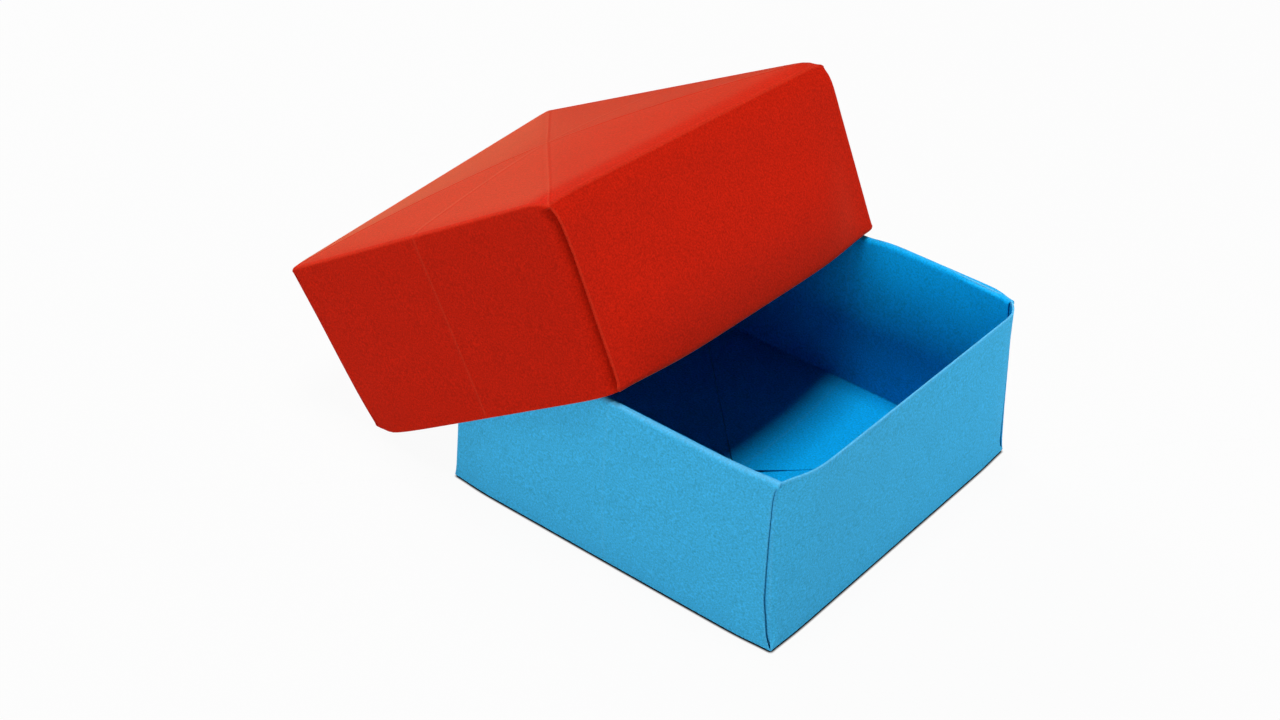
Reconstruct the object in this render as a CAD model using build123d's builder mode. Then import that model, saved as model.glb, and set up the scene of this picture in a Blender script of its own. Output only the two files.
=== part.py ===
"""A two-piece box of folded paper: a blue base and a red lid that leans on it.

Each piece is one square of paper folded as a masu box. Two of its walls are plain: the sheet, and the flap
turned in behind it. The other two are pleated: the sheet's corners close into flat gussets, and the wall's
own flap is turned in over them. The four flaps end in triangles that meet at the middle of the floor.
"""
import math
import os

from build123d import *

# Driving dimensions, in millimetres
base_sheet = 205.0          # side of the square the base is folded from
lid_sheet = 210.0           # side of the square the lid is folded from
base_height = 35.5          # folded height of the base
lid_height = 36.3           # folded height of the lid
paper = 0.15                # thickness of the paper
layer_gap = 0.10            # air between two folded layers
corner_slit = 0.30          # open slit beside each folded corner edge
seam = 0.40                 # open seam between two floor flaps
base_crease = 0.40          # bend radius of the base's floor edges
lid_crease = 1.20           # bend radius of the lid's top edges
flap_crease = 0.35          # bend radius where a flap turns on to the floor
base_lean = 1.10            # how far in the base's rims stand from its floor edges
lid_side_lean = 0.30        # the same for the lid's plain walls
lid_low_lean = 1.60         # the same for the lid's pleated wall on the table
lid_high_lean = 4.10        # the same for the lid's pleated wall on the base
lid_dome = 2.00             # how far the middle of the lid's top stands up
lid_reach = 1.60            # how far past the base's middle the lid's upper rim lies
rest_gap = 0.05             # clearance under the lid where it rests

pitch = paper + layer_gap
half_paper = paper / 2

# Depth of each layer of a pleated wall behind its outer layer
folded_back = pitch
gusset = folded_back + paper + corner_slit
gusset_lining = gusset + pitch
turned_in = gusset_lining + pitch
lining = turned_in + pitch

# The rim of a pleated wall bends round all of these, that of a plain wall round a single gap
pleated_bend = lining * 0.49
plain_bend = pitch * 0.49
lining_end = 1.5 * pitch + paper + layer_gap

UP = Vector(0, 0, 1)


def both_hands(points):
    """Right-hand run of an outline followed by its mirror image."""
    return points + [(-x, y) for x, y in reversed(points) if x != 0]


def strip(out, path, radii, front, back, cut_height):
    """Paper folded along a section path, then cut to an outline seen from the front.

    Below the cut height it is also mitred along the floor's diagonals, set back from them by half a seam.
    """
    along = UP.cross(out)
    beyond = max(abs(x) for x, y in front) + 5
    mitre = both_hands([(beyond, -1), (beyond, beyond + back), (0, back)])
    with BuildPart() as folded:
        with BuildSketch(Plane(origin=(0, 0, 0), x_dir=out, z_dir=out.cross(UP))):
            with BuildLine():
                FilletPolyline(*path, radius=radii)
            trace(line_width=paper)
        extrude(amount=beyond, both=True)
        with BuildSketch(Plane(origin=(0, 0, 0), x_dir=along, z_dir=-out)):
            with BuildLine():
                Polyline(*[(x, -y) for x, y in front], close=True)
            make_face()
        extrude(amount=beyond, both=True, mode=Mode.INTERSECT)
        with BuildSketch(Plane(origin=UP * cut_height, x_dir=along, z_dir=UP)):
            with BuildLine():
                Polyline(*[(x, -y) for x, y in mitre], close=True)
            make_face()
        extrude(amount=-beyond, mode=Mode.SUBTRACT)
    return folded.part


def fold_over(start, end, depth, hint, span):
    """Half-round fold that joins two layers along an edge, bulging towards the hint."""
    bulge = depth.cross(end - start).normalized()
    bulge = bulge if bulge.dot(hint) > 0 else -bulge
    axis = depth.cross(bulge)
    with BuildPart() as fold:
        with BuildSketch(Plane(origin=start, x_dir=depth, z_dir=axis)):
            with BuildLine():
                ThreePointArc((0, 0), (span / 2, span / 2), (span, 0))
            trace(line_width=paper)
        extrude(amount=(end - start).dot(axis))
    return fold.part


def layer(plane, depth, outline):
    """One flat layer of paper in a wall."""
    with BuildPart() as flat:
        with BuildSketch(plane.offset(depth)):
            with BuildLine():
                Polyline(*outline, close=True)
            make_face()
        extrude(amount=half_paper, both=True)
    return flat.part


def pleat(out, half, spring, rise, lean, side_lean, hand):
    """Closed gusset at one end of a pleated wall: four layers and the folds between them."""
    along = UP.cross(out)
    climb = UP * rise - out * lean
    slant = climb.length
    climb = climb.normalized()
    foot = pitch
    top = slant - pleated_bend
    wall = Plane(origin=out * half + UP * spring, x_dir=-along, z_dir=climb.cross(along))

    def corner(s):
        return half - side_lean * s / slant

    def slanting(s):
        return corner(s) - s - spring

    def at(x, s, depth):
        return wall.from_local_coords(Vector(hand * x, s, depth))

    def triangle(inset):
        return [
            (hand * (corner(foot) - inset), foot),
            (hand * (corner(top) - inset), top),
            (hand * slanting(top), top),
            (hand * slanting(foot), foot),
        ]

    depth = wall.z_dir
    outward = wall.x_dir * hand
    pieces = [
        layer(wall, folded_back, triangle(pitch / 2)),
        layer(wall, gusset, triangle(-half_paper)),
        layer(wall, gusset_lining, triangle(pitch - half_paper)),
        layer(wall, turned_in, triangle(lining_end)),
    ]
    # Folded vertical edges, outside and inside
    for inset, first, last in ((pitch / 2, 0, folded_back), (lining_end, turned_in, lining)):
        start = at(corner(foot) - inset, foot, first)
        end = at(corner(top) - inset, top, first)
        pieces.append(fold_over(start, end, depth, outward, last - first))
    # The gusset's own fold, from the floor corner to the middle of the rim
    start = at(slanting(foot), foot, folded_back)
    end = at(slanting(top), top, folded_back)
    pieces.append(fold_over(start, end, depth, -outward, gusset - folded_back))
    # Folds of the hidden layers under the rim
    for first, last in ((folded_back, turned_in), (gusset, gusset_lining)):
        start = at(corner(top) - lining_end, top, first)
        end = at(slanting(top), top, first)
        pieces.append(fold_over(start, end, depth, climb, last - first))
    return pieces


def folded_box(sheet, height, side_lean, end_leans, dome, crease):
    """One folded sheet, open side up: plain walls along X, pleated walls along Y, floor underside at zero."""
    half = sheet / math.sqrt(8) - height - half_paper
    low = half_paper
    high = height - half_paper
    spring = low + 2 * crease
    rise = high - spring
    under = -dome - 5
    over = height + 5
    flap_cut = low + pitch + 1.2 * flap_crease
    set_back = seam / math.sqrt(2)

    def edge(z, lean):
        return half - lean * max(z - spring, 0) / rise

    def section(lean, depth, bend):
        turn = high - 1.5 * bend
        joint = (edge(turn, lean) - depth, turn)
        outside = [
            (0, low - dome),
            (half, low),
            (half, spring),
            (half - lean, high),
            (half - lean - depth, high),
            joint,
        ]
        inside = [joint, (half - depth, spring), (half - depth, low + pitch), (0, low + pitch - dome)]
        return outside, [crease, 0, bend, bend], inside, [0, flap_crease]

    pieces = []
    # Pleated walls
    shoulder = high - pleated_bend
    sheet_front = both_hands([
        (half + 1, under),
        (half + 1, spring),
        (edge(spring, side_lean) - pitch / 2, spring),
        (edge(shoulder, side_lean) - pitch / 2, shoulder),
        (edge(shoulder, side_lean) - lining_end, shoulder),
        (edge(over, side_lean) - lining_end, over),
    ])
    lining_front = both_hands([
        (half - lining_end, under),
        (half - lining_end, spring),
        (edge(over, side_lean) - lining_end, over),
    ])
    for out, lean in ((Vector(0, -1, 0), end_leans[0]), (Vector(0, 1, 0), end_leans[1])):
        outside, sheet_bends, inside, lining_bends = section(lean, lining, pleated_bend)
        pieces.append(strip(out, outside, sheet_bends, sheet_front, 0, spring))
        pieces.append(strip(out, inside, lining_bends, lining_front, set_back, flap_cut))
        for hand in (1, -1):
            pieces += pleat(out, half, spring, rise, lean, side_lean, hand)
    # Plain walls, whose ends run in behind the folded edges of the pleated ones
    inset = gusset - half_paper
    lining_inset = gusset_lining - half_paper
    flap_inset = lining + half_paper + layer_gap
    ledge = spring + pitch
    outside, sheet_bends, inside, lining_bends = section(side_lean, pitch, plain_bend)
    for out, (back, front) in ((Vector(1, 0, 0), end_leans), (Vector(-1, 0, 0), end_leans[::-1])):
        outline = [
            (half + 1, under),
            (half + 1, spring),
            (edge(spring, front) - inset, spring),
            (edge(over, front) - inset, over),
            (inset - edge(over, back), over),
            (inset - edge(spring, back), spring),
            (-half - 1, spring),
            (-half - 1, under),
        ]
        pieces.append(strip(out, outside, sheet_bends, outline, 0, spring))
        outline = [
            (half - flap_inset, under),
            (half - flap_inset, ledge),
            (edge(ledge, front) - lining_inset, ledge),
            (edge(over, front) - lining_inset, over),
            (lining_inset - edge(over, back), over),
            (lining_inset - edge(ledge, back), ledge),
            (flap_inset - half, ledge),
            (flap_inset - half, under),
        ]
        pieces.append(strip(out, inside, lining_bends, outline, set_back, flap_cut))
    return pieces


# Base, standing on its floor
base_pieces = folded_box(base_sheet, base_height, base_lean, (base_lean, base_lean), 0.0, base_crease)
with BuildPart() as base:
    add(base_pieces)
base.part.label = "base"

# Lid, turned over: its low rim stands on the table and its high rim on the rims of the base
lid_pieces = folded_box(
    lid_sheet, lid_height, lid_side_lean, (lid_low_lean, lid_high_lean), lid_dome, lid_crease
)
lid_half = lid_sheet / math.sqrt(8) - lid_height - half_paper
rim_half = lining / 2
rim_outer = rim_half + half_paper
low_rim = lid_half - lid_low_lean - rim_half
high_rim = lid_half - lid_high_lean - rim_half
tilt = math.asin(base_height / (low_rim + high_rim))
open_way = Vector(math.sin(tilt), 0, -math.cos(tilt))
high_way = Vector(math.cos(tilt), 0, math.sin(tilt))
high_point = Vector(lid_reach, 0, base_height + rim_outer + rest_gap)
lid_origin = high_point - high_way * high_rim - open_way * (lid_height - rim_outer)
with BuildPart() as lid:
    with Locations(Plane(origin=lid_origin, x_dir=(0, 1, 0), z_dir=open_way)):
        add(lid_pieces)
lid.part.label = "lid"

os.makedirs("parts", exist_ok=True)
export_step(base.part, "parts/base.step")
export_step(lid.part, "parts/lid.step")
for made in (base.part, lid.part):
    box = made.bounding_box()
    print(made.label, len(made.solids()), round(made.volume, 1), box.min, box.max)
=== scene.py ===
# %% [markdown]
# # A folded paper box with its lid leaning on it
#
# The real object is two squares of coloured paper, each folded into a masu box. The blue one stands on
# the table, and the red one is turned over, with one rim on the table and the other across the blue rims.
# This first cell loads the imported CAD part, whose frame every later cell works in, and keeps its pieces by
# name.

import bmesh
import bpy
import numpy as np
from mathutils import Matrix, Vector


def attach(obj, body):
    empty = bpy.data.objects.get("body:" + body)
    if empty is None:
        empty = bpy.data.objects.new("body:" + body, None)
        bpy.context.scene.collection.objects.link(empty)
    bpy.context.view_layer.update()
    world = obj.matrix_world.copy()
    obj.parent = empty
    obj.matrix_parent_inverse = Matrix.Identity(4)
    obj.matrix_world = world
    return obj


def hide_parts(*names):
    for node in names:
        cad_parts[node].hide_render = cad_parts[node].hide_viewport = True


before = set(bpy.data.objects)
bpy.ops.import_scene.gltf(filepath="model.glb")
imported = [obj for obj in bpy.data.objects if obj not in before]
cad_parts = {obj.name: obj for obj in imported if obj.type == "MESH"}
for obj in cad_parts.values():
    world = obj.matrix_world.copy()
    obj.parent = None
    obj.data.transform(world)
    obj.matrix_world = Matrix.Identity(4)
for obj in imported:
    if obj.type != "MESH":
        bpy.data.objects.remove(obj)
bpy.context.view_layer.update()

# %% [markdown]
# ## The paper and its layers
#
# All lengths are in millimetres until a mesh is made. A pleated wall holds six layers of paper, so its
# rim is a thick soft roll, while a plain wall holds two and ends in a sharp fold. The paper, the step
# from one layer to the next and the bend of the flaps are those of the CAD, and the seams between the
# flaps are narrower. Every wall is laid over the same columns, which stand close together at its ends to
# keep the corners crisp.

# %% Paper and columns
paper = 0.15
pitch = 0.25
folded_back = 0.25
seam = 0.12
flap_crease = 0.35
end_columns = np.array([0.994, 1.0])
inner_columns = np.linspace(-0.975, 0.975, 39)
columns = np.concatenate((-end_columns[::-1], inner_columns, end_columns))
print(len(columns), "columns across each wall")

# %% [markdown]
# ## The sizes of the base
#
# A box is described by a few sizes, so that the base and the lid can be folded by the same helpers. Half
# is half the width of the floor, crease the radius of the floor's edges, and tip how far each flap stops
# from the middle. Over the height called opening, the corner opens out of its mitre. Lining is the depth
# of a pleated wall. Ends are the turns of the plain walls at -Y and at +Y: radius, depth behind the
# neighbour, and how much deeper it gapes near the floor. Drawn and inner ends say how far the pleated
# walls stop short of the corners, outside and inside. Last come the moves of the eight corners, four of
# the floor and four of the rim.

# %% Sizes of the base
base_box = {
    "half": 36.903, "height": 35.5, "crease": 0.55, "tip": 0.9, "opening": 1.5, "lining": 1.45,
    "ends": ((0.9, 0.5, 0.4), (0.9, 0.5, 0.4)),
    "drawn": (0.2, 0.2, 0.2, 1.25),
    "inner_ends": (0.625, 0.625),
    "corner_moves": [
        (-0.4, -0.2, 0), (0, 0, 0), (0.2, 0.1, 0), (0.45, -0.45, 0),
        (0.9, 1.1, 0), (1.1, -1.1, 0), (-0.85, -0.9, 0), (-1.1, 1.1, 0),
    ],
}
print("the base's floor is", round(2 * base_box["half"] + paper, 2), "mm wide")

# %% [markdown]
# ## How one wall is folded
#
# Seen in section, the paper leaves the floor round a small bend, climbs the wall, rolls over the rim,
# comes down again as the lining and turns on to the floor as a triangular flap. It could be folded up
# from a flat plane with bones, but a sum is steadier: a section is a run of points (distance out from the
# middle, height), and a whole wall is that run carried along its length. Each row knows which of the six
# parts it belongs to.


# %% Section of a wall
floor_bend, wall_face, rim_roll, lining_face, flap_bend, flap_face = range(6)
bend_rows, roll_rows, flap_bend_rows = 8, 15, 6
wall_rows = np.concatenate(([0.008], np.linspace(0.03, 0.97, 22), [0.992]))
flap_rows = np.concatenate(([0.995], np.linspace(0.97, 0.0, 24)))
lining_settle = 1.5


def ramp(value, start, length):
    """Straight ramp: nought before the start, one after a length past it."""
    return np.clip((value - start) / length, 0.0, 1.0)


def section(box, first, last):
    """Outward distance, height and part of each row of a layer, `first` deep outside, `last` deep inside.

    The bends are quarter circles, the rim is a half circle as wide as the two depths are apart, and near
    the floor both depths close up to those of the outermost layers.
    """
    half, low, crease = box["half"], paper / 2, box["crease"]
    rim_start = box["height"] - paper / 2 - box["depth"] / 2
    foot, inner_foot = low + crease, low + pitch + flap_crease
    turn = np.linspace(0, np.pi / 2, bend_rows)
    climb = foot + (rim_start - foot) * wall_rows
    roll = np.linspace(0, np.pi, roll_rows)
    drop = climb[::-1] + (inner_foot - foot) * (1 - ramp(climb[::-1], foot, rim_start - foot))
    inward = np.linspace(0, np.pi / 2, flap_bend_rows)
    flap = box["tip"] + flap_rows * (half - box["depth"] - flap_crease - box["tip"])

    outward = np.concatenate((
        half - crease + crease * np.sin(turn),
        half - first * ramp(climb, foot, box["opening"]),
        half - (first + last) / 2 + (last - first) / 2 * np.cos(roll),
        half - box["depth"] + (box["depth"] - last) * ramp(drop, inner_foot, lining_settle),
        half - box["depth"] - flap_crease * (1 - np.cos(inward)),
        flap,
    ))
    height = np.concatenate((
        low + crease * (1 - np.cos(turn)),
        climb,
        rim_start + (last - first) / 2 * np.sin(roll),
        drop,
        inner_foot - flap_crease * np.sin(inward),
        np.full(len(flap), low + pitch),
    ))
    runs = (turn, climb, roll, drop, inward, flap)
    parts = np.repeat(np.arange(flap_face + 1), [len(run) for run in runs])
    return outward, height, parts


def distance_along(outward, height):
    """Length of paper from the middle of the floor to each row: the sum of the steps between rows."""
    steps = np.hypot(np.diff(outward), np.diff(height))
    return outward[0] + np.concatenate(([0.0], np.cumsum(steps)))


plain_base = {**base_box, "depth": pitch}
print("a section has", len(section(plain_base, 0.0, pitch)[0]), "rows")

# %% [markdown]
# ## What every wall shares
#
# At its foot a wall is as long as the floor's edge, so the bend is mitred at the corners, and each flap
# narrows to a triangle. In between, the ends open out of the mitre into a turn or a fold. Those ends are
# worked out apart from the middle, because they differ from wall to wall, and are then joined to it in
# one grid.


# %% Rows and grid of a wall
pull_power = 12


def shared_rows(box, parts, outward, height, ends, limit):
    """Half length of the wall's middle at each row, and how far its ends are opened, from nought to one.

    On the floor bend the half length equals the outward distance, which mitres the corner. On a flap it is
    the outward distance less the seam, which makes the triangle. The lining opens from `limit` to `ends`.
    """
    foot, inner_foot = paper / 2 + box["crease"], paper / 2 + pitch + flap_crease
    lining = parts == lining_face
    opened = np.where(lining, ramp(height, inner_foot, lining_settle), ramp(height, foot, box["opening"]))
    opened = np.where((parts == floor_bend) | (parts >= flap_bend), 0.0, opened)
    closed = np.where(lining, limit, box["half"])
    reach = closed + (ends - closed) * opened
    reach = np.where(parts == floor_bend, outward, reach)
    reach = np.where(parts >= flap_bend, np.minimum(outward - seam, limit), reach)
    return reach, opened


def lay_out(box, outward, height, first, last, drawn_in=None):
    """Joins two ends and a middle into one grid of (along, outward, height) and one of sheet places.

    Where `drawn_in` is given, each end is pulled back by its own share of it, times the column to the
    twelfth power.
    """
    middle = np.where(columns < 0, columns * first[0][:, None], columns * last[0][:, None])
    first_run, first_out, first_up, first_flat = (grid[:, ::-1] for grid in first[1:])
    run, out, up, flat = last[1:]
    along = np.concatenate((-first_run, middle, run), 1)
    if drawn_in is not None:
        side = np.concatenate((-np.ones(run.shape[1]), columns, np.ones(run.shape[1])))
        pull = np.where(side < 0, box["drawn"][0], box["drawn"][1])
        along = along - np.sign(side) * np.abs(side) ** pull_power * pull * drawn_in[:, None]
    outs = np.concatenate((first_out, np.repeat(outward[:, None], len(columns), 1), out), 1)
    ups = np.concatenate((first_up, np.repeat(height[:, None], len(columns), 1), up), 1)
    length = np.repeat(distance_along(outward, height)[:, None], along.shape[1], 1)
    across = np.concatenate((-first_flat, middle, flat), 1)
    return np.stack((along, outs, ups), -1), np.stack((across, length), -1)


print("a pleated wall's ends are pulled back with the column to the power", pull_power)

# %% [markdown]
# ## Plain walls
#
# A plain wall turns the corner at both ends, and its ends slide in behind the neighbouring wall as tails
# that widen upwards. A bevel could round the corner, but the tail behind it is what makes the dark slit
# beside the folded edge, so the turn and the tail are worked out together.


# %% Plain wall
turn_columns = 8
tail_columns = np.array([0.04, 0.5, 1.0])
tail_start = 2.0
gape_height = 9.0
lining_tuck = 1.65


def turned_end(box, outward, height, parts, turn, gusset, gape):
    """End of a plain wall, bent a quarter turn: along is reach + radius sin, outward less radius (1 - cos).

    Past the bend it runs on as a tail, `gusset` behind the next wall, and near the floor `gape` deeper.
    """
    behind = gusset + gape * np.exp(-height / gape_height)
    ends = box["half"] - behind - turn
    reach, opened = shared_rows(box, parts, outward, height, ends, box["half"] - lining_tuck)
    depth = np.where(parts > wall_face, pitch, 0.0)
    depth = np.where(parts == rim_roll, box["half"] - outward, depth)
    bend = np.linspace(0, np.pi / 2, turn_columns + 1)[1:]
    angle = np.concatenate((bend, np.full(len(tail_columns), np.pi / 2)))
    beyond = np.concatenate((np.zeros(turn_columns), tail_columns))
    radius = ((turn - depth) * opened)[:, None]
    width = (np.maximum(height - tail_start, 0.0) * opened)[:, None]
    run = reach[:, None] + radius * np.sin(angle)
    out = outward[:, None] - radius * (1 - np.cos(angle)) - width * beyond
    flat = reach[:, None] + radius * angle + width * beyond
    return reach, run, out, np.repeat(height[:, None], len(angle), 1), flat


def plain_wall(box, ends):
    """Wall of two layers with a turned end at each end."""
    outward, height, parts = section(box, 0.0, pitch)
    first, last = (turned_end(box, outward, height, parts, *end) for end in ends)
    return lay_out(box, outward, height, first, last)


print("a plain wall has rows and columns", plain_wall(plain_base, base_box["ends"])[0].shape[:2])

# %% [markdown]
# ## Pleated walls
#
# A pleated wall stops at the corner with a folded edge, and a hem runs back behind it, widening upwards
# to the gusset's slanting fold. That edge is pulled back a little from the corner, most at a third of the
# height, and shows as a pale line on the real box. Its lining has hems of its own, which stop short of
# the turned ends.


# %% Pleated wall
fold_columns = 8
hem_columns = np.array([0.03, 0.5, 1.0])
drawn_heights = [0, 0.02, 0.065, 0.3, 0.78, 0.93, 1.0]
drawn_amounts = [0, 0.3, 1.0, 1.5, 0.95, 0.85, 0.2]


def pleated_wall(box):
    """Wall whose ends fold right back: round the fold, outer and hem section are mixed by (1 - cos) / 2."""
    outward, height, parts = section(box, 0.0, box["lining"])
    hem_out, hem_height, _ = section(box, folded_back, box["lining"] - pitch)
    round_fold = folded_back / 2
    over_rim = (box["half"] - outward) / box["lining"]
    past_rim = np.where(parts == rim_roll, over_rim, (parts > rim_roll) * 1.0)
    profile = np.interp(height / box["height"], drawn_heights, drawn_amounts)
    drawn_in = np.where(parts == wall_face, profile, 0.0)
    ends = box["half"] - round_fold - (box["inner_end"] - round_fold) * past_rim
    reach, opened = shared_rows(box, parts, outward, height, ends, box["half"] - box["inner_end"])
    fold = np.linspace(0, np.pi, fold_columns + 1)[1:]
    mix = np.concatenate(((1 - np.cos(fold)) / 2, np.ones(len(hem_columns))))
    angle = np.concatenate((fold, np.full(len(hem_columns), np.pi)))
    beyond = np.concatenate((np.zeros(fold_columns), hem_columns))
    radius = (round_fold * opened)[:, None]
    width = (np.maximum(height - tail_start, 0.0) * opened)[:, None]
    run = reach[:, None] + radius * np.sin(angle) - width * beyond
    out = outward[:, None] + (hem_out - outward)[:, None] * mix
    up = height[:, None] + (hem_height - height)[:, None] * mix
    flat = reach[:, None] + radius * angle + width * beyond
    end = (reach, run, out, up, flat)
    return lay_out(box, outward, height, end, end, drawn_in)


pleated_base = {**base_box, "depth": base_box["lining"], "inner_end": base_box["inner_ends"][0]}
print("a pleated wall has rows and columns", pleated_wall(pleated_base)[0].shape[:2])

# %% [markdown]
# ## One sheet folded into an open box
#
# The floor is a plain grid, and the four walls take its edges, so the whole box is one connected skin
# with no paper added or lost at the corners. A real box is never square, so the straight one is then
# carried on to eight corners of its own, in the way that a lattice would do it.


# %% Fold a sheet
def folded_sheet(box):
    """Grids of points and sheet places: the floor, then in turn a plain wall at X and a pleated one at Y."""
    flat = columns * (box["half"] - box["crease"])
    x, y = np.meshgrid(flat, flat, indexing="ij")
    grids = [(np.stack((x, y, np.full_like(x, paper / 2)), -1), np.stack((x, y), -1))]
    for side, pulls, inner_end in (
        (1, box["drawn"][:2], box["inner_ends"][1]),
        (-1, box["drawn"][2:], box["inner_ends"][0]),
    ):
        wall, place = plain_wall({**box, "depth": pitch}, box["ends"][::side])
        points = np.stack((side * wall[..., 1], side * wall[..., 0], wall[..., 2]), -1)
        grids.append((points, np.stack((side * place[..., 1], side * place[..., 0]), -1)))
        wall, place = pleated_wall({**box, "depth": box["lining"], "drawn": pulls, "inner_end": inner_end})
        points = np.stack((-side * wall[..., 0], side * wall[..., 1], wall[..., 2]), -1)
        grids.append((points, np.stack((-side * place[..., 0], side * place[..., 1]), -1)))
    return grids


def carried_to_corners(points, box):
    """Moves the straight box on to eight soft corners: each point moves by a weighted mean of their moves.

    The weights are the products of (1 ± x) / 2, (1 ± y) / 2 and the height as a share of the wall.
    """
    share = np.stack((points[:, 0] / box["half"], points[:, 1] / box["half"]), -1)
    rise = (points[:, 2] - paper / 2) / (box["height"] - paper)
    weights = [
        (1 + sx * share[:, 0]) / 2 * (1 + sy * share[:, 1]) / 2 * top
        for top in (1 - rise, rise) for sx, sy in ((-1, -1), (-1, 1), (1, 1), (1, -1))
    ]
    return points + np.stack(weights, -1) @ np.array(box["corner_moves"])


print("the base's sheet has", sum(p[..., 0].size for p, _ in folded_sheet(base_box)), "points")

# %% [markdown]
# ## From grids to a sheet of paper
#
# The grids are put into one mesh, and the points that two of them share are welded. A map named "sheet"
# keeps where each point lay on the flat square, which the finish uses later for the fold lines. The skin
# has no thickness of its own; a Solidify modifier gives it, so that every layer is as thick as the next.


# %% Skin of a sheet
millimetre = 0.001
sheet_unit = 0.01
weld_distance = 5e-7
sliver = 1e-8


def skin(name, grids, shape):
    """Turns the grids into one welded mesh; `shape` gives each point its last place in millimetres."""
    points = np.concatenate([p.reshape(-1, 3) for p, _ in grids])
    walls = np.repeat(np.arange(len(grids)), [p.shape[0] * p.shape[1] for p, _ in grids])
    places = np.concatenate([s.reshape(-1, 2) for _, s in grids])
    faces, start = [], 0
    for p, _ in grids:
        rows, cols = p.shape[:2]
        number = start + np.arange(rows * cols).reshape(rows, cols)
        corners = (number[:-1, :-1], number[1:, :-1], number[1:, 1:], number[:-1, 1:])
        faces.append(np.stack(corners, -1).reshape(-1, 4))
        start += rows * cols
    faces = np.concatenate(faces)
    mesh = bpy.data.meshes.new(name)
    mesh.from_pydata(shape(points, walls) * millimetre, [], faces)
    sheet = mesh.uv_layers.new(name="sheet")
    sheet.data.foreach_set("uv", (places[faces.ravel()] * sheet_unit).ravel())
    work = bmesh.new()
    work.from_mesh(mesh)
    bmesh.ops.remove_doubles(work, verts=work.verts, dist=weld_distance)
    bmesh.ops.dissolve_degenerate(work, edges=work.edges, dist=sliver)
    bmesh.ops.recalc_face_normals(work, faces=work.faces)
    work.to_mesh(mesh)
    work.free()
    mesh.polygons.foreach_set("use_smooth", np.ones(len(mesh.polygons), dtype=bool))
    piece = bpy.data.objects.new(name, mesh)
    bpy.context.scene.collection.objects.link(piece)
    thickness = piece.modifiers.new("paper thickness", "SOLIDIFY")
    thickness.thickness = paper * millimetre
    thickness.offset = 0.0
    print(name, len(mesh.vertices), "points", len(mesh.polygons), "faces")
    return piece


print("one unit of the sheet map is", round(1 / sheet_unit), "mm of paper")

# %% [markdown]
# ## Bows
#
# Two or six layers of paper don't stay flat between stiff corners: each wall bows in or out. A bow is an
# amount, and the two lengths over which it eases in from the ends of its wall. It could be sculpted by
# hand, but named amounts can be set one by one against the real walls.


# %% A bow along a wall
wall_depth, wall_ease = 4.0, 2.0


def between(place, half, first, last):
    """Nought at both ends of a wall and one between: the product of 1 - exp(-(distance / length)^2)."""
    near, far = np.maximum(half + place, 0), np.maximum(half - place, 0)
    return (1 - np.exp(-((near / first) ** 2))) * (1 - np.exp(-((far / last) ** 2)))


def bowed(bow, place, half):
    """Amount of a bow at each place along its wall."""
    amount, first, last = bow
    return amount * between(place, half, first, last)


def in_wall(outward, half):
    """One in the layers of the wall on that side and nought further in."""
    return ramp(outward, half - wall_depth, wall_ease)


print("a 1 mm bow is", np.round(bowed((1.0, 6.0, 6.0), np.array([-36.0, -30.0, 0.0]), 36.0), 2), "mm")

# %% [markdown]
# ## The walls of the blue base
#
# Its rims stand in from the floor edges by about a millimetre, because the turned-in flaps pull the
# corners together. Between those corners the right-hand plain wall, which has only two layers to hold it,
# bows out most. The far rim is pressed down a little where the lid lies on it.

# %% Walls of the base
floor, right_wall, far_wall, left_wall, near_wall = range(5)
base_bows = {
    "right": (2.5, 5.5, 2.6), "right belly": (0.4, 6.0, 6.0), "right foot": (0.3, 5.0, 5.0),
    "left": (1.2, 5.0, 5.0), "far": (1.3, 3.0, 3.0),
    "near": (0.9, 6.0, 6.0), "near belly": (1.3, 6.0, 14.0), "near foot": (0.5, 5.0, 5.0),
}
near_start, near_run = -16.0, 14.0
corner_belly = 1.1
pressed_depth, pressed_place, pressed_width = 0.95, 1.8, 4.5


def base_walls(points, walls):
    """Corner moves, then each wall's bow, which grows with the height to the power 1.3, or faster.

    Bellies are a half sine over the height, and bows at the foot fade with the square of the height left.
    """
    half = base_box["half"]
    x, y, z = points.T
    rise = np.clip(z / base_box["height"], 0, 1)
    climb, belly, foot = rise ** 1.3, np.sin(np.pi * rise), (1 - rise) ** 2
    right, left = walls == right_wall, walls == left_wall
    far, near = in_wall(np.abs(y), half) * (y > 0), in_wall(np.abs(y), half) * (y < 0)
    right_foot, near_foot = np.clip(x / half, 0, 1) ** 10 * foot, np.clip(-y / half, 0, 1) ** 10 * foot
    made = carried_to_corners(points, base_box)
    made[:, 0] += bowed(base_bows["right"], y, half) * right * climb
    made[:, 0] += bowed(base_bows["right belly"], y, half) * right * belly
    made[:, 0] += bowed(base_bows["right foot"], y, half) * right_foot
    made[:, 0] -= bowed(base_bows["left"], y, half) * left * climb
    made[:, 1] += bowed(base_bows["far"], x, half) * far * rise ** 4
    made[:, 1] -= bowed(base_bows["near"], x, half) * ramp(x, near_start, near_run) * near * climb
    made[:, 1] -= bowed(base_bows["near belly"], x, half) * near * belly
    made[:, 1] -= bowed(base_bows["near foot"], x, half) * near_foot
    made[:, 1] -= corner_belly * ramp(x, 0.0, half) * near * (rise - rise ** 6)
    made[:, 2] -= pressed_depth * np.exp(-((x - pressed_place) / pressed_width) ** 2) * far * rise ** 8
    return made


print("the largest bow of the base is", max(amount for amount, _, _ in base_bows.values()), "mm")

# %% [markdown]
# ## The blue base
#
# The four flaps on the floor meet near its middle. On the real base they have slid towards the near
# corner, and their tips stand slightly open. They are part of the same skin, so they need no pieces of
# their own: their points are moved by a share that is one at the tip and nought at the foot of the wall.

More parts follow.
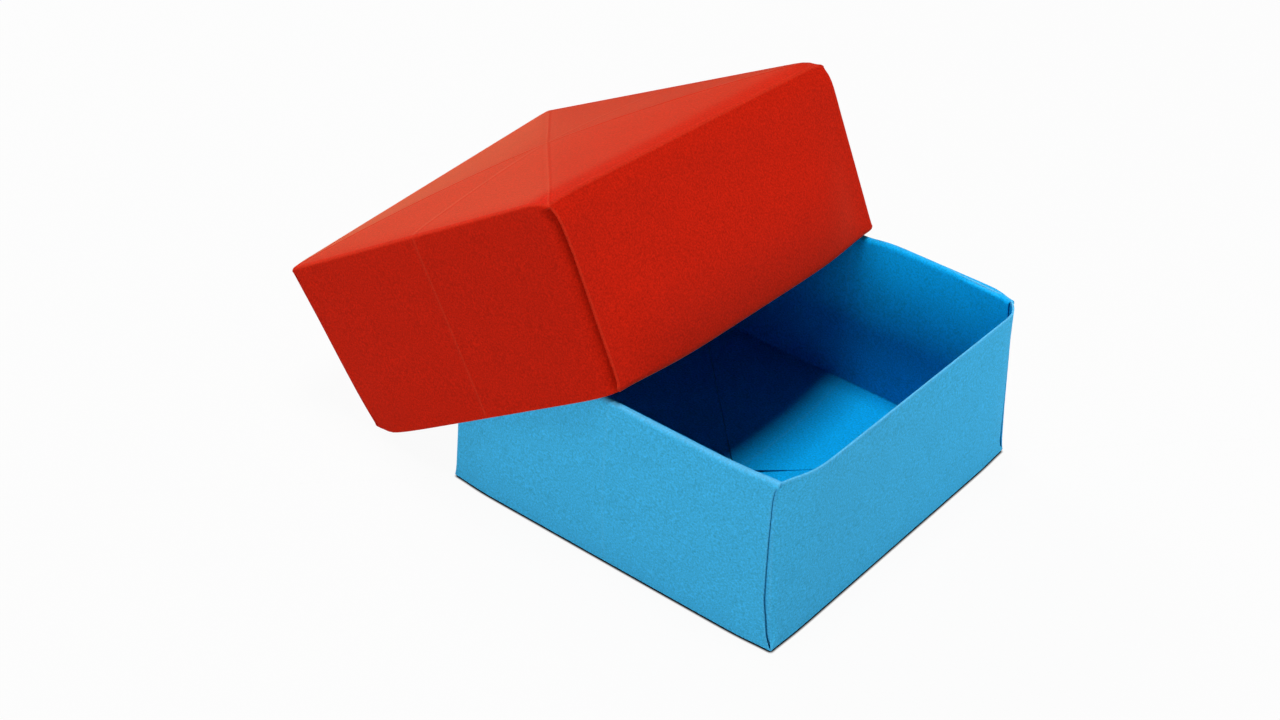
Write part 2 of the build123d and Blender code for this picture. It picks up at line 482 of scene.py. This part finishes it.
# %% Fold the base
flap_slide, flap_top, flap_edge, slide_edge = 2.35, 0.4, 1.7, 1.8
tip_length = 9.0
tip_lifts = np.zeros(near_wall + 1)
tip_lifts[[right_wall, far_wall, left_wall, near_wall]] = 0.05, 0.8, 0.1, 0.05


def base_shape(points, walls):
    """The walls' shape, then the flaps: slid by 1 - (distance from tip)^4, lifted by (1 - distance)^1.2."""
    half = base_box["half"]
    x, y, z = points.T
    made = base_walls(points, walls)
    from_tip = np.maximum(np.abs(x), np.abs(y))
    flap = (walls != floor) & (z < flap_top) & (from_tip < half - flap_edge)
    slid = np.where(flap, 1 - np.clip(from_tip / (half - slide_edge), 0, 1) ** 4, 0.0)
    made[:, 0] += flap_slide * slid
    made[:, 1] -= flap_slide * slid
    made[:, 2] += np.where(flap, tip_lifts[walls] * (1 - ramp(from_tip, 0.0, tip_length)) ** 1.2, 0.0)
    return made


base_piece = skin("folded_base", folded_sheet(base_box), base_shape)
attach(base_piece, "root")
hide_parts("base")

# %% [markdown]
# ## The sizes and the place of the lid
#
# The lid is a little larger and softer, and it stands slightly twisted, with the near end of the upper
# rim lifted off the base. It is folded open side up like the base, so that the same helpers fold it, and
# is then turned over into its leaning place, the same one as in the CAD. Its +Y wall becomes the high
# one, and that wall's plain neighbours turn in with a wide, soft bend.

# %% Sizes and place of the lid
lid_box = {
    "half": 37.871, "height": 36.3, "crease": 0.6, "tip": 0.9, "opening": 0.6, "lining": 1.85,
    "ends": ((0.6, 0.45, 0.0), (3.0, 0.85, 0.35)),
    "drawn": (0.2, 0.65, 0.2, 0.2),
    "inner_ends": (0.625, 2.0),
    "corner_moves": [
        (-0.4, -0.45, -0.1), (1.45, -0.2, -2.2), (0.15, 1.3, 1.8), (-0.42, -0.85, -1.9),
        (0.5, 1.5, 0.0), (1.3, -3.4, -2.25), (0.0, -3.8, 0.46), (-0.3, 1.6, 0.0),
    ],
}
lean = np.radians(31.168)
lid_axes = np.array([
    [0.0, 1.0, 0.0],
    [np.cos(lean), 0.0, np.sin(lean)],
    [np.sin(lean), 0.0, -np.cos(lean)],
])
lid_place = np.array([-45.049, 0.0, 49.6226])
print("the lid leans by", round(float(np.degrees(lean)), 1), "degrees")

# %% [markdown]
# ## The walls and the top of the red lid
#
# Its top rises to the middle in four nearly flat facets, which meet at the diagonal creases. Its high
# wall bellies out above the base, and the wall towards the viewer bows a little. The bows are those of
# the base with other amounts, because it is the same fold.

# %% Walls of the lid
lid_bows = {
    "high": (1.8, 12.0, 12.0), "high sag": (0.6, 12.0, 12.0), "high belly": (2.2, 8.0, 10.0),
    "near": (1.2, 9.0, 5.0),
}
top_swell, swell_fade = 2.7, 10


def lid_walls(points, rise):
    """Corner moves, the bows of the high and near walls, and the top's swell.

    The swell is 1 - (larger of |x| and |y|)^1.5. The bows grow with the height to the power 1.3, and the
    belly is a half sine over the height to the power 1.8.
    """
    half = lid_box["half"]
    x, y, _ = points.T
    climb = rise ** 1.3
    high, near = in_wall(y, half), in_wall(-x, half)
    swell = 1 - np.clip(np.maximum(np.abs(x), np.abs(y)) / half, 0, 1) ** 1.5
    made = carried_to_corners(points, lid_box)
    made[:, 0] -= bowed(lid_bows["near"], y, half) * near * climb
    made[:, 1] += bowed(lid_bows["high"], x, half) * high * climb
    made[:, 1] += bowed(lid_bows["high belly"], x, half) * high * np.sin(np.pi * rise ** 1.8)
    made[:, 2] += bowed(lid_bows["high sag"], x, half) * high * climb
    made[:, 2] -= top_swell * swell * np.clip(1 - swell_fade * rise, 0, 1)
    return made


print("the lid's top rises by", top_swell, "mm")

# %% [markdown]
# ## The red lid
#
# The edges of the lid's top are rounder than those of the base. A bevel would round them all alike, so
# each edge is drawn in by its own amount instead, given across the lid, along its slope and towards its
# opening. The width of an edge is how far from it that amount has faded to about a third.

# %% Fold the lid
high_edge_width, side_edge_width = 2.7, 1.6
high_corner_width, corner_length, low_corner_width = 4.0, 3.5, 3.5
soft_pulls = {
    "high edge": (0.0, -0.75, 0.6), "high corners": (0.2, -0.55, 0.34),
    "side edges": (0.2, 0.0, 0.14), "low near corner": (0.6, 0.0, -1.2),
}


def lid_shape(points, walls):
    """The walls' shape, soft edges that fade as exp(-(distance / width)^2), then the leaning place."""
    half = lid_box["half"]
    x, y, z = points.T
    rise = np.clip((z - paper / 2) / lid_box["height"], 0, 1)
    made = lid_walls(points, rise)
    from_high, from_side = half - y, half - np.abs(x)
    high_square, side_square = from_high ** 2 + z ** 2, from_side ** 2 + z ** 2
    corner_square = (x + half) ** 2 + (y + half) ** 2
    soft = {
        "high edge": np.exp(-high_square / high_edge_width ** 2),
        "high corners": np.exp(-high_square / high_corner_width ** 2 - (from_side / corner_length) ** 2),
        "side edges": np.exp(-side_square / side_edge_width ** 2),
        "low near corner": np.exp(-corner_square / low_corner_width ** 2) * rise ** 6,
    }
    inward = np.stack((-np.sign(x), np.ones_like(y), np.ones_like(z)), -1)
    for name, share in soft.items():
        made += share[:, None] * inward * np.array(soft_pulls[name])
    return lid_place + made @ lid_axes


lid_piece = skin("folded_lid", folded_sheet(lid_box), lid_shape)
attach(lid_piece, "root")
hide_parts("lid")

# %% [markdown]
# ## Helpers for the finishes
#
# A finish is a small network of nodes. It could be wired by hand in the shader editor, but the two papers
# share most of it, so it is written down. Four helpers keep that readable: one sets a socket to a link or
# to a plain value, one starts a node group, one places a Math node and one mixes two colours.


# %% Node helpers
def join(tree, value, socket):
    """Links a value that comes from another socket, or sets a plain number or colour."""
    if isinstance(value, bpy.types.NodeSocket):
        tree.links.new(value, socket)
    else:
        socket.default_value = value


def group(name, inputs, outputs):
    """Starts a shader node group with the sockets named in two lists of (title, kind)."""
    made = bpy.data.node_groups.new(name, "ShaderNodeTree")
    for title, kind in inputs:
        made.interface.new_socket(title, in_out="INPUT", socket_type="NodeSocket" + kind)
    for title, kind in outputs:
        made.interface.new_socket(title, in_out="OUTPUT", socket_type="NodeSocket" + kind)
    return made, made.nodes.new("NodeGroupInput"), made.nodes.new("NodeGroupOutput")


def math_node(tree, operation, *values):
    """Result of a Math node whose inputs are links or plain numbers."""
    node = tree.nodes.new("ShaderNodeMath")
    node.operation = operation
    for socket, value in zip(node.inputs, values):
        join(tree, value, socket)
    return node.outputs[0]


def colour_mix(tree, factor, first, second):
    """Colour that goes from the first to the second as the factor goes from nought to one."""
    node = tree.nodes.new("ShaderNodeMix")
    node.data_type = "RGBA"
    for title, value in (("Factor", factor), ("A", first), ("B", second)):
        join(tree, value, node.inputs[title])
    return node.outputs["Result"]


print("node helpers:", [helper.__name__ for helper in (join, group, math_node, colour_mix)])

# %% [markdown]
# ## Grain
#
# Craft paper is dyed through and matt, with fine fibres and a slow cloudiness. Both papers show it, so it
# is a node group: two noises on the object's own coordinates, which stay in place when the camera moves.


# %% Paper grain
grains = (("Fibre", 2900.0, 1.5), ("Cloud", 160.0, 4.0))
grain_roughness = 0.6


def fibre_group():
    """Grain: fine noise for the fibres and slow noise for the cloudiness, each about nought."""
    outputs = [(title, "Float") for title, _, _ in grains]
    made, given, result = group("paper grain", [("Place", "Vector")], outputs)
    for title, scale, detail in grains:
        noise = made.nodes.new("ShaderNodeTexNoise")
        noise.inputs["Scale"].default_value = scale
        noise.inputs["Detail"].default_value = detail
        noise.inputs["Roughness"].default_value = grain_roughness
        made.links.new(given.outputs["Place"], noise.inputs["Vector"])
        made.links.new(math_node(made, "SUBTRACT", noise.outputs["Fac"], 0.5), result.inputs[title])
    return made


fibre = fibre_group()
print("finish group:", fibre.name)

# %% [markdown]
# ## Where the fold lines are
#
# Folds that were opened again stay as thin worn lines: the middle lines and the diagonals of the sheet.
# The edge of the floor is drawn paler too, and the lip of the rim gets a painted highlight, a pale band
# where the rolled rim catches the light. They could be painted on an image, but the sheet map knows where
# each point lay on the flat square, so each line is only a distance on that map.

# %% Distances to the fold lines
crease_kinds = ("Across", "Along", "Rising", "Falling")
line_kinds = crease_kinds + ("Edge", "Lip")
lip_width = 2.0


def line_distances(tree, given):
    """Distances on the sheet to the lines x = 0, y = 0, x = y, x = -y, to the floor's edge and to the lip.

    The lip is where the larger of |x| and -y reaches Rim, so the wall at +Y has none. The last value given
    is how far the larger of |x| and |y| is past Rim.
    """
    split = tree.nodes.new("ShaderNodeSeparateXYZ")
    tree.links.new(given.outputs["Sheet"], split.inputs[0])
    x, y = split.outputs["X"], split.outputs["Y"]
    across, along = math_node(tree, "ABSOLUTE", x), math_node(tree, "ABSOLUTE", y)

    def apart(first, second):
        return math_node(tree, "ABSOLUTE", math_node(tree, "SUBTRACT", first, second))

    half, rim = given.outputs["Half"], given.outputs["Rim"]
    edge = math_node(tree, "MINIMUM", apart(across, half), apart(along, half))
    front = math_node(tree, "MAXIMUM", across, math_node(tree, "MULTIPLY", y, -1.0))
    lip = math_node(tree, "DIVIDE", apart(front, rim), lip_width)
    past = math_node(tree, "SUBTRACT", math_node(tree, "MAXIMUM", across, along), rim)
    falling = math_node(tree, "ABSOLUTE", math_node(tree, "ADD", x, y))
    return dict(zip(line_kinds, (across, along, apart(x, y), falling, edge, lip))), past


print("kinds of line:", *line_kinds)

# %% [markdown]
# ## Fold lines
#
# A pale line is less than a millimetre wide, and the crease it runs on is raised over about twice that
# width. On the creases the line is wear, along the floor's edge it is only drawn paler, and on the lip of
# the rim it is a painted highlight. Both papers have them in different strengths, so they are a node group
# with a strength for each kind of line. The group also says which side of the rim a point is on, for the
# painted colour of the inside.

# %% Fold lines
line_widths = {"Line": 0.0045, "Ridge": 0.011}
rim_sharpness = 60.0


def near_line(tree, distance, width):
    """One on a line and nought a width away from it, along an S-shaped curve."""
    soft = tree.nodes.new("ShaderNodeMapRange")
    soft.interpolation_type = "SMOOTHSTEP"
    soft.inputs["From Min"].default_value = width
    soft.inputs["From Max"].default_value = 0.0
    tree.links.new(distance, soft.inputs["Value"])
    return soft.outputs["Result"]


def fold_line_group():
    """A thin pale line and a broader raised ridge at each fold line, and a mask of the sheet's inside. The
    pale line is wear on the creases and a painted highlight on the lip.

    Each kind of line has its own strength, and the strongest one near a point is the one that shows. Ridges
    are only on the creases. Inside is one where the sheet has passed over the rim.
    """
    inputs = [("Sheet", "Vector")] + [(title, "Float") for title in (*line_kinds, "Half", "Rim")]
    outputs = [(title, "Float") for title in (*line_widths, "Inside")]
    made, given, result = group("fold lines", inputs, outputs)
    distances, past = line_distances(made, given)
    for title, width in line_widths.items():
        strongest = 0.0
        for kind in line_kinds if title == "Line" else crease_kinds:
            shown = near_line(made, distances[kind], width)
            shown = math_node(made, "MULTIPLY", shown, given.outputs[kind])
            strongest = math_node(made, "MAXIMUM", shown, strongest)
        made.links.new(strongest, result.inputs[title])
    step = math_node(made, "MULTIPLY_ADD", past, rim_sharpness, 0.5)
    step.node.use_clamp = True
    made.links.new(step, result.inputs["Inside"])
    return made


fold_lines = fold_line_group()
print("finish group:", fold_lines.name)

# %% [markdown]
# ## Paper
#
# Each paper is one colour outside, and inside it is painted a little deeper, which stands in for the shade
# and bounced light in the box's hollow. It is cloudy by a few parts in a hundred, paler where it was
# creased, and painted with a highlight on the lip of the rim. The surface is nearly matt; the red one has a
# faint haze where it is seen at a slant. Light bounces many times inside a deep box and would make its
# shaded walls too bright, so rays that have already bounced off something matt see a flat and slightly
# darker colour.


# %% Paper materials
cloudiness = 0.12
fibre_contrast = 1.0
fibre_bump = (0.25, 0.0001)
ridge_bump = (1.0, 0.0006)
paper_roughness = 0.7
haze_roughness = 0.3
haze_tint = (1.0, 0.7, 0.3, 1.0)


def bump_node(tree, height, strength, distance):
    """Bump node of a given strength and distance over a height."""
    bump = tree.nodes.new("ShaderNodeBump")
    bump.inputs["Strength"].default_value = strength
    bump.inputs["Distance"].default_value = distance
    tree.links.new(height, bump.inputs["Height"])
    return bump


def paper_finish(name, outside, painted_inside, pale_wear_and_highlight, bounced, lines, gloss, haze):
    """Principled paper: colour times one plus the grain, drawn towards a pale colour (wear on creases,
    painted highlight on the lip) on the fold lines.
    """
    made = bpy.data.materials.new(name)
    made.use_nodes = True
    tree = made.node_tree
    surface = tree.nodes["Principled BSDF"]
    place = tree.nodes.new("ShaderNodeTexCoord")
    sheet = tree.nodes.new("ShaderNodeUVMap")
    sheet.uv_map = "sheet"
    grain = tree.nodes.new("ShaderNodeGroup")
    grain.node_tree = fibre
    folds = tree.nodes.new("ShaderNodeGroup")
    folds.node_tree = fold_lines
    tree.links.new(place.outputs["Object"], grain.inputs["Place"])
    tree.links.new(sheet.outputs["UV"], folds.inputs["Sheet"])
    for title, strength in lines.items():
        folds.inputs[title].default_value = strength

    # The inside colour is painted: a deeper colour standing in for the shade and bounced light in the box's
    # hollow.
    outside_and_painted_inside = colour_mix(tree, folds.outputs["Inside"], (*outside, 1.0), (*painted_inside, 1.0))
    cloud = math_node(tree, "MULTIPLY_ADD", grain.outputs["Cloud"], cloudiness, 1.0)
    tone = tree.nodes.new("ShaderNodeVectorMath")
    tone.operation = "SCALE"
    tree.links.new(outside_and_painted_inside, tone.inputs[0])
    fibres = math_node(tree, "MULTIPLY_ADD", grain.outputs["Fibre"], fibre_contrast, cloud)
    tree.links.new(fibres, tone.inputs["Scale"])
    # Pale fold lines: wear on the creases, paler floor edges, and a painted highlight on the lip of the rim.
    creased_and_highlit = colour_mix(tree, folds.outputs["Line"], tone.outputs[0], (*pale_wear_and_highlight, 1.0))
    ray = tree.nodes.new("ShaderNodeLightPath")
    seen = colour_mix(tree, ray.outputs["Is Diffuse Ray"], creased_and_highlit, (*bounced, 1.0))
    tree.links.new(seen, surface.inputs["Base Color"])

    rough = bump_node(tree, grain.outputs["Fibre"], *fibre_bump)
    ridge = bump_node(tree, folds.outputs["Ridge"], *ridge_bump)
    tree.links.new(rough.outputs["Normal"], ridge.inputs["Normal"])
    tree.links.new(ridge.outputs["Normal"], surface.inputs["Normal"])
    surface.inputs["Roughness"].default_value = paper_roughness
    surface.inputs["Specular IOR Level"].default_value = gloss
    surface.inputs["Sheen Weight"].default_value = haze
    surface.inputs["Sheen Roughness"].default_value = haze_roughness
    surface.inputs["Sheen Tint"].default_value = haze_tint
    return made


print("paper roughness", paper_roughness)

# %% [markdown]
# ## Blue paper and red paper
#
# The blue sheet shows a painted highlight on its lip and hardly any creases; on the red one the diagonals
# and one middle line show. Half and Rim are where the floor's edge and the rim lie on each sheet, in the
# map's units. The colours were set so that the lit and the shaded sides come out close to those of the real
# papers, and the inside colours are painted deeper to stand in for the shade and bounced light in the
# hollow.

# %% Blue paper and red paper
# Lip paints a highlight on the rolled rim; Across to Falling are worn creases, and Edge makes the floor's
# edge paler.
blue_lines = {
    "Across": 0.04, "Along": 0.0, "Rising": 0.0, "Falling": 0.0, "Edge": 0.05, "Lip": 0.3,
    "Half": 0.368, "Rim": 0.7225,
}
red_lines = {
    "Across": 0.0, "Along": 0.08, "Rising": 0.22, "Falling": 0.12, "Edge": 0.07, "Lip": 0.1,
    "Half": 0.3774, "Rim": 0.742,
}
# The inside colours are painted deeper, standing in for the shade and bounced light inside the boxes.
blue_paper = paper_finish(
    "blue paper", outside=(0.054, 0.475, 0.83), painted_inside=(0.001, 0.415, 0.92), pale_wear_and_highlight=(0.3, 0.7, 0.9),
    bounced=(0.02, 0.37, 0.65), lines=blue_lines, gloss=0.06, haze=0.0,
)
red_paper = paper_finish(
    "red paper", outside=(0.56, 0.013, 0.0028), painted_inside=(0.45, 0.01, 0.002), pale_wear_and_highlight=(0.8, 0.16, 0.07),
    bounced=(0.5, 0.013, 0.0028), lines=red_lines, gloss=0.035, haze=0.3,
)
base_piece.data.materials.append(blue_paper)
lid_piece.data.materials.append(red_paper)
print("papers:", blue_paper.name, red_paper.name)

# %% [markdown]
# ## The table
#
# The table is a plain pale sheet. Enough light to make it white would bleach the paper, so to the camera
# most of its white is its own, and the rest is lit, which keeps a faint shadow on it. Its own white fades
# within less than a millimetre of the paper, a painted contact shadow that leaves the thin dark line on
# which the box stands.


# %% Table
table_half = 3.0
table_grey = (0.5, 0.5, 0.5, 1.0)
table_roughness = 0.9
own_white = 0.95
# Reach, samples, gain and shift of the painted contact shadow on the table's glow.
shadow_paint_reach, shadow_paint_samples = 0.0006, 16
shadow_paint_gain, shadow_paint_shift = 2.2, -1.05


def table_finish():
    """Matt grey mixed with a plain glow by `own_white` for rays from the camera; ambient occlusion dims the
    glow near the paper as a painted contact shadow.
    """
    made = bpy.data.materials.new("pale table")
    made.use_nodes = True
    tree = made.node_tree
    surface = tree.nodes["Principled BSDF"]
    surface.inputs["Base Color"].default_value = table_grey
    surface.inputs["Roughness"].default_value = table_roughness
    surface.inputs["Specular IOR Level"].default_value = 0.0
    glow = tree.nodes.new("ShaderNodeEmission")
    # Painted contact shadow: the glow dims where ambient occlusion finds the paper close by.
    painted_contact_shadow = tree.nodes.new("ShaderNodeAmbientOcclusion")
    painted_contact_shadow.samples = shadow_paint_samples
    painted_contact_shadow.inputs["Distance"].default_value = shadow_paint_reach
    shadow_paint_fade = math_node(tree, "MULTIPLY_ADD", painted_contact_shadow.outputs["AO"], shadow_paint_gain, shadow_paint_shift)
    shadow_paint_fade.node.use_clamp = True
    tree.links.new(shadow_paint_fade, glow.inputs["Strength"])
    ray = tree.nodes.new("ShaderNodeLightPath")
    mix = tree.nodes.new("ShaderNodeMixShader")
    tree.links.new(math_node(tree, "MULTIPLY", ray.outputs["Is Camera Ray"], own_white), mix.inputs["Fac"])
    tree.links.new(surface.outputs[0], mix.inputs[1])
    tree.links.new(glow.outputs[0], mix.inputs[2])
    tree.links.new(mix.outputs[0], tree.nodes["Material Output"].inputs["Surface"])
    return made


def table_top():
    """Large flat square at height nought."""
    mesh = bpy.data.meshes.new("table")
    corners = [(sx * table_half, sy * table_half, 0) for sx, sy in ((-1, -1), (1, -1), (1, 1), (-1, 1))]
    mesh.from_pydata(corners, [], [(0, 1, 2, 3)])
    mesh.materials.append(table_finish())
    made = bpy.data.objects.new("table", mesh)
    bpy.context.scene.collection.objects.link(made)
    return made


table = table_top()
print("table", 2 * table_half, "m wide")

# %% [markdown]
# ## Light
#
# Four soft lamps give each visible side its own brightness, as a bright room does: one overhead for the
# lid's top and the floor of the base, one to the left, one in front, and a small one low on the right for
# the wall that faces away from the others. The world looks white to the camera and is nearly dark to the
# paper.


# %% Light
lamps = (
    ("overhead lamp", 0.42, 12.6, (0.025, 0.0, 1.3), (0.0, 0.0, 0.0)),
    ("left lamp", 0.5, 8.8, (-1.08, 0.27, 0.67), (0.0, 0.0, 0.0)),
    ("front lamp", 0.4, 8.6, (0.05, -1.37, 0.22), (0.0, 0.0, 0.0)),
    ("side lamp", 0.14, 0.53, (0.31, 0.14, 0.06), (0.0, 0.0, 0.03)),
)
world_seen, world_light = 0.97, 0.01


def soft_lamp(name, size, power, place, aim):
    """Square area lamp at a place, turned to shine at a point."""
    data = bpy.data.lights.new(name, "AREA")
    data.size = size
    data.energy = power
    lamp = bpy.data.objects.new(name, data)
    lamp.location = place
    lamp.rotation_euler = (Vector(aim) - Vector(place)).to_track_quat("-Z", "Y").to_euler()
    lamp.visible_camera = False
    bpy.context.scene.collection.objects.link(lamp)


for lamp_values in lamps:
    soft_lamp(*lamp_values)
world = bpy.data.worlds.new("room")
bpy.context.scene.world = world
world.use_nodes = True
air = world.node_tree.nodes["Background"]
air.inputs["Color"].default_value = (1.0, 1.0, 1.0, 1.0)
ray = world.node_tree.nodes.new("ShaderNodeLightPath")
to_camera = ray.outputs["Is Camera Ray"]
brightness = math_node(world.node_tree, "MULTIPLY_ADD", to_camera, world_seen, world_light)
world.node_tree.links.new(brightness, air.inputs["Strength"])

# %% [markdown]
# ## Camera
#
# The camera looks down at the near corner, from a little to the right of the lid, through a short
# telephoto lens. Its three directions were worked out from the corners of the boxes, so they are given as
# they are.

# %% Camera
right = Vector((0.77128625, 0.63626374, 0.01691055))
up = Vector((-0.38405176, 0.44403642, 0.8095282))
back = Vector((0.50756454, -0.6308725, 0.5868374))
camera_place = Vector((0.21119604, -0.29114413, 0.28425175))
lens = bpy.data.cameras.new("camera")
lens.lens = 67.5
lens.sensor_width = 36.0
camera = bpy.data.objects.new("camera", lens)
turned = Matrix((right, up, back)).transposed().to_4x4()
camera.matrix_world = Matrix.Translation(camera_place) @ turned
bpy.context.scene.collection.objects.link(camera)
bpy.context.scene.camera = camera
bpy.context.scene.view_settings.view_transform = "Standard"
print("camera at", [round(c, 3) for c in camera_place])
